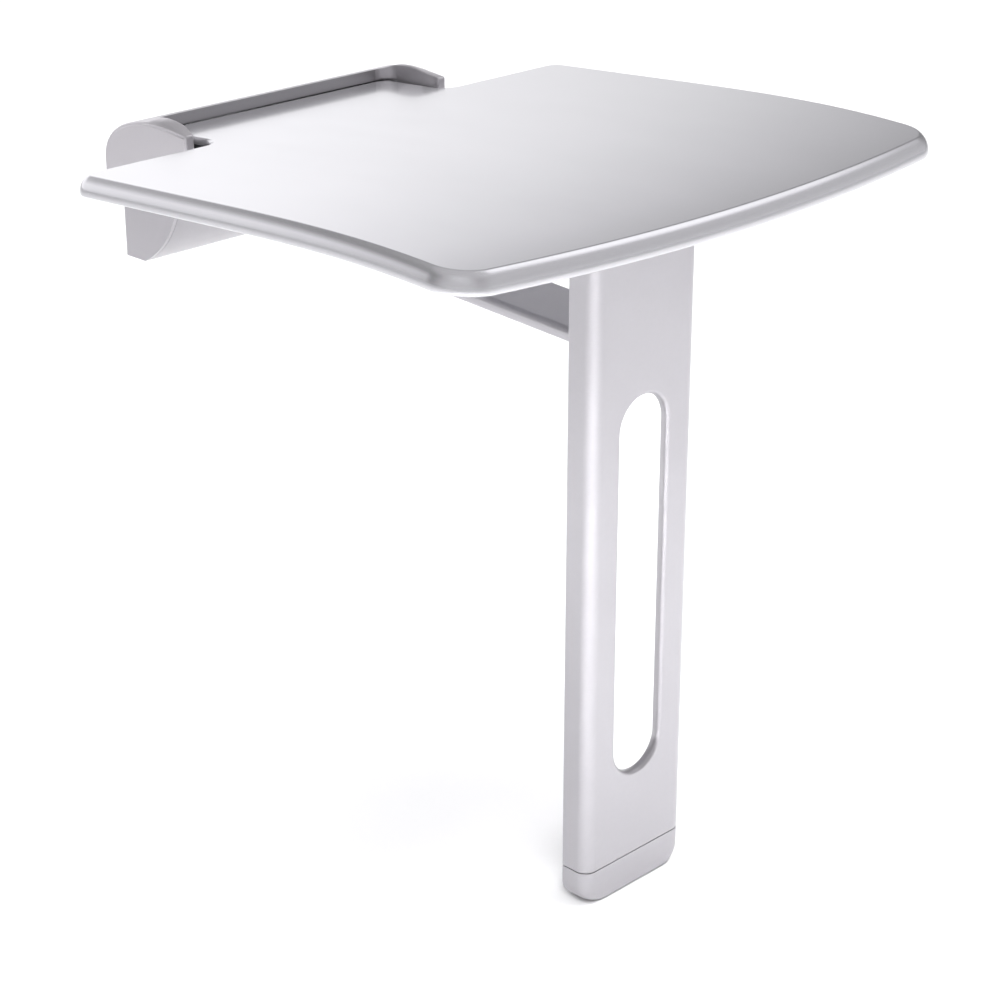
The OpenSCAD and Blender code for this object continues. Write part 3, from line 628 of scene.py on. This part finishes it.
def end_cap(side, name, stands_for):
    s = Shape()

    def corner(cx, cz, r, a0):
        return arc(cx, cz, r, a0, a0 + 90, 5)

    def section(y, top, shrink=0.0):
        flare_y = HOOD_Y - 0.05
        over = CAP_IN
        if y >= flare_y:
            over = CAP_IN - FLARE_R
        elif y > flare_y - FLARE_R:
            over = CAP_IN - FLARE_R + math.sqrt(FLARE_R ** 2 - (y - flare_y + FLARE_R) ** 2)
        nose = max(0.0, min(1.0, (-76.0 - y) / 14.0))
        inner = CAP_IN + 3.0 * nose * nose * (3 - 2 * nose)
        over = over if over < CAP_IN else inner
        if y > HOOD_Y + 3.5:
            under = top - 4.9
        else:
            under = min(LIP_Z + 0.7, top - 4.0)
        low = min(cap_low(y), top - 6.0) + shrink
        swell = max(0.0, min(1.0, (HOOD_Y - 1.0 - y) / (HOOD_Y - 1.0 - CAP_NOSE)))
        crown = CAP_CROWN * math.sin(math.pi * swell ** 0.8) ** 1.2
        out, top = CAP_OUT - shrink, top - shrink
        over, inner = over + shrink, inner + shrink
        low = min(low, under - 1.0)
        pts = corner(out - CAP_EDGE_R, top - CAP_EDGE_R, CAP_EDGE_R, 0)
        for t in (0.75, 0.5, 0.25):
            pts.append((over + (out - over) * t, top + crown * math.sin(math.radians(90 * (1 - t)))))
        pts += corner(over + 0.9, top + crown - 0.9, 0.9, 90)
        pts += corner(over + 0.4, under + 0.4, 0.4, 180)
        pts += [(inner, under), (inner, (under + low) / 2)]
        pts += corner(inner + 0.9, low + 0.9, 0.9, 180)
        pts += corner(out - CAP_EDGE_R, low + CAP_EDGE_R, CAP_EDGE_R, 270)
        return [(side * x, y, z) for x, z in pts]

    stations = cap_stations()
    flare_angles = list(range(4, 61, 8)) + [70, 80, 90]
    extra = [HOOD_Y - 0.05 - FLARE_R * (1 - math.cos(math.radians(a))) for a in flare_angles]
    extra += [HOOD_Y, HOOD_Y + 3.5, HOOD_Y + 3.6]
    ys = sorted(set([round(y, 3) for y, z in stations] + [round(y, 3) for y in extra]), reverse=True)

    def top_at(y):
        for (y0, z0), (y1, z1) in zip(stations, stations[1:]):
            if y1 <= y <= y0:
                return z0 + (z1 - z0) * (y - y0) / (y1 - y0)
        return stations[-1][1]

    loops = [section(y, top_at(y)) for y in ys]
    nose_top = top_at(ys[-1])
    for a in (30, 60, 90):
        turn = math.radians(a)
        loops.append(section(CAP_NOSE + CAP_NOSE_R - CAP_NOSE_R * math.sin(turn), nose_top - 0.1,
                             CAP_NOSE_R * (1 - math.cos(turn))))
    s.loft(loops)
    ledge = [(-87.0, 22.0), (-71.0, 22.0), (-71.0, top_z(-71) - 11.2), (-87.0, top_z(-87) - 11.2)]
    s.loft([[(side * x, y, z) for y, z in ledge] for x in (95.6, 110.5)])
    foot = [(-60.0, 4.0), (0.0, 4.0), (0.0, 30.0), (-5.0, 30.0), (-5.0, 18.0), (-60.0, 18.0)]
    s.loft([[(side * x, y, z) for y, z in foot] for x in (105.7, 110.5)])
    rim = [(y, top_at(y)) for y in ys if y < -0.5] + [(CAP_NOSE, top_at(ys[-1]) - 1.0), (CAP_NOSE, 44.0)]
    rim += [(-86.0, 27.0), (-78.0, 21.0), (-68.0, 16.5), (-60.0, 6.0), (0.0, 2.0), (0.0, 26.0)]
    face = [[(side * x, y, z) for y, z in inward(rim, d)] for x, d in
            ((CAP_OUT - 0.6, 2.0), (CAP_OUT + 0.05, 2.0), (CAP_OUT + 0.32, 2.3), (CAP_OUT + 0.36, 2.6))]
    s.loft(face)
    return piece(name, s, "bracket", CAP_MAT, (stands_for,), sharp=35.0, weighted=True)


end_cap(-1, "left_end_cap_body", "left_end_cap")
end_cap(1, "right_end_cap_body", "right_end_cap")

# ---------------------------------------------------------------- carried-over pieces, with softened edges

softened("wall_rail", "bracket", RAIL_MAT, 0.7)
softened("left_end_plate", "bracket", PLATE_MAT, 0.8, segments=3)
softened("right_end_plate", "bracket", PLATE_MAT, 0.8, segments=3)
for n in ("left_hinge_bracket", "right_hinge_bracket", "strut_bracket"):
    softened(n, "bracket", STEEL, 0.5)
for n in ("left_hinge_pin", "right_hinge_pin", "strut_wall_pin"):
    softened(n, "bracket", TURNED, 0.4)
for n in ("hinge_pin_clips", "strut_wall_pin_clip"):
    softened(n, "bracket", SPRING, 0.15)
for n in ("bracket_bolts", "end_plate_screws"):
    softened(n, "bracket", TURNED, 0.3)
softened("stop_pads", "bracket", RUBBER, 0.6)
softened("support_frame", "seat", STEEL, 0.4)
for n in ("left_seat_knuckle", "right_seat_knuckle", "leg_lug"):
    softened(n, "seat", STEEL, 0.6)
for n in ("hinge_bushes", "leg_lug_bushes"):
    softened(n, "seat", NYLON, 0.3)
softened("underside_cover", "seat", COVER_MAT, 0.6)
for n in ("frame_screws", "knuckle_screws"):
    softened(n, "seat", TURNED, 0.3)
softened("leg_bracket", "leg", STEEL_Z, 0.5)
for n in ("leg_bracket_screws", "leg_pivot_pin", "strut_leg_pin", "foot_screws"):
    softened(n, "leg", TURNED, 0.3)
softened("leg_pin_clips", "leg", SPRING, 0.15)
softened("foot_pad", "leg", RUBBER, 0.6)
for n in ("strut_leg_end", "strut_wall_end"):
    softened(n, "strut", STEEL, 0.4)
softened("strut_bushes", "strut", NYLON, 0.3)

# ---------------------------------------------------------------- floor, light and camera

REAR_BOX, TOP_BOX = 1.44, 0.35


def stage_floor():
    mesh = bpy.data.meshes.new("floor")
    bm = bmesh.new()
    bmesh.ops.create_grid(bm, x_segments=8, y_segments=8, size=30.0)
    bm.to_mesh(mesh)
    bm.free()
    floor = bpy.data.objects.new("floor", mesh)
    bpy.context.scene.collection.objects.link(floor)
    floor.location = (0, 0, FLOOR * MM - 0.0005)
    m, nt, p = material("floor_pale", (0.90, 0.90, 0.905), 0.0, 0.9, specular=0.1)
    nt.links.new(ramp(nt, noise(nt, 0.4, 2.0), [(0.3, (0.895, 0.895, 0.90)), (0.7, (0.91, 0.91, 0.915))]),
                 p.inputs["Base Color"])
    mesh.materials.append(m)


def down_light(name, place, side, power, beam=180.0):
    """A square area light that shines straight down and is seen neither directly nor in reflections."""
    light = bpy.data.lights.new(name, "AREA")
    light.shape = "RECTANGLE"
    light.size = light.size_y = side
    light.energy = power
    light.spread = math.radians(beam)
    obj = bpy.data.objects.new(name, light)
    bpy.context.scene.collection.objects.link(obj)
    obj.location = place
    obj.rotation_mode = "QUATERNION"
    obj.rotation_quaternion = Vector((0, 0, -1)).to_track_quat("-Z", "Y")
    obj.visible_glossy = obj.visible_camera = False


def lobe(nt, direction, azimuth, elevation, inner, outer, strength):
    """A soft glow in the sky round one direction: full inside the inner angle, gone outside the outer one."""
    a, e = math.radians(azimuth), math.radians(elevation)
    dot = node(nt, "ShaderNodeVectorMath", operation="DOT_PRODUCT")
    nt.links.new(direction, dot.inputs[0])
    dot.inputs[1].default_value = (math.sin(a) * math.cos(e), math.cos(a) * math.cos(e), math.sin(e))
    m = node(nt, "ShaderNodeMapRange", interpolation_type="SMOOTHSTEP")
    m.inputs["From Min"].default_value = math.cos(math.radians(outer))
    m.inputs["From Max"].default_value = math.cos(math.radians(inner))
    m.inputs["To Max"].default_value = strength
    nt.links.new(dot.outputs["Value"], m.inputs["Value"])
    return m.outputs["Result"]


def world():
    """A studio sky: a wide soft box low behind, a dim top, a small glow high on the right that makes the
    highlight on the seat's front edge, weak glows in front on both sides, and a pale horizon."""
    w = bpy.data.worlds.new("studio")
    w.use_nodes = True
    nt = w.node_tree
    bg = nt.nodes["Background"]
    way = nt.nodes.new("ShaderNodeTexCoord").outputs["Generated"]
    sep = nt.nodes.new("ShaderNodeSeparateXYZ")
    nt.links.new(way, sep.inputs[0])
    low = spread(nt, sep.outputs["Z"], 1.0, 0.0, 0.36, 0.62)
    rear = add_math(nt, lobe(nt, way, 2, 16, 18, 63, REAR_BOX), low, "MULTIPLY")
    total = add_math(nt, rear, lobe(nt, way, 0, 90, 22, 50, TOP_BOX))
    total = add_math(nt, total, lobe(nt, way, 100, 47, 6, 20, 1.3))
    total = add_math(nt, total, lobe(nt, way, 135, 10, 20, 60, 0.45))
    total = add_math(nt, total, lobe(nt, way, -125, 15, 20, 62, 0.5))
    total = add_math(nt, total, spread(nt, sep.outputs["Z"], 0.30, 0.13, 0.0, 0.27))
    bg.inputs["Color"].default_value = (0.985, 0.98, 1.0, 1)
    nt.links.new(total, bg.inputs["Strength"])
    bpy.context.scene.world = w


def camera():
    cam = bpy.data.cameras.new("camera")
    cam.sensor_width = 36.0
    cam.lens = 36.0 * 2.456
    cam.clip_end = 100.0
    obj = bpy.data.objects.new("camera", cam)
    bpy.context.scene.collection.objects.link(obj)
    az, el = math.radians(-44.97), math.radians(23.2)
    obj.location = (-1.0899, -1.3563, 0.4776)
    forward = Vector((-math.sin(az) * math.cos(el), math.cos(az) * math.cos(el), -math.sin(el)))
    obj.rotation_mode = "QUATERNION"
    obj.rotation_quaternion = forward.to_track_quat("-Z", "Y")
    bpy.context.scene.camera = obj


stage_floor()
world()
down_light("overhead", (0, 0, 4.0), 5.0, 120.0)
down_light("front_left", (-0.9, -1.25, 0.95), 0.9, 20.0)
down_light("corner_pool", (-0.6, -0.95, 0.7), 0.4, 4.0, beam=70.0)
down_light("front_right", (0.8, -1.1, 2.5), 1.0, 38.0)
down_light("front_pool", (0.42, -0.9, 0.35), 0.5, 0.35, beam=120.0)
down_light("rear_right", (1.3, 1.1, 2.6), 2.5, 42.0)
camera()
bpy.context.scene.view_settings.view_transform = "Standard"
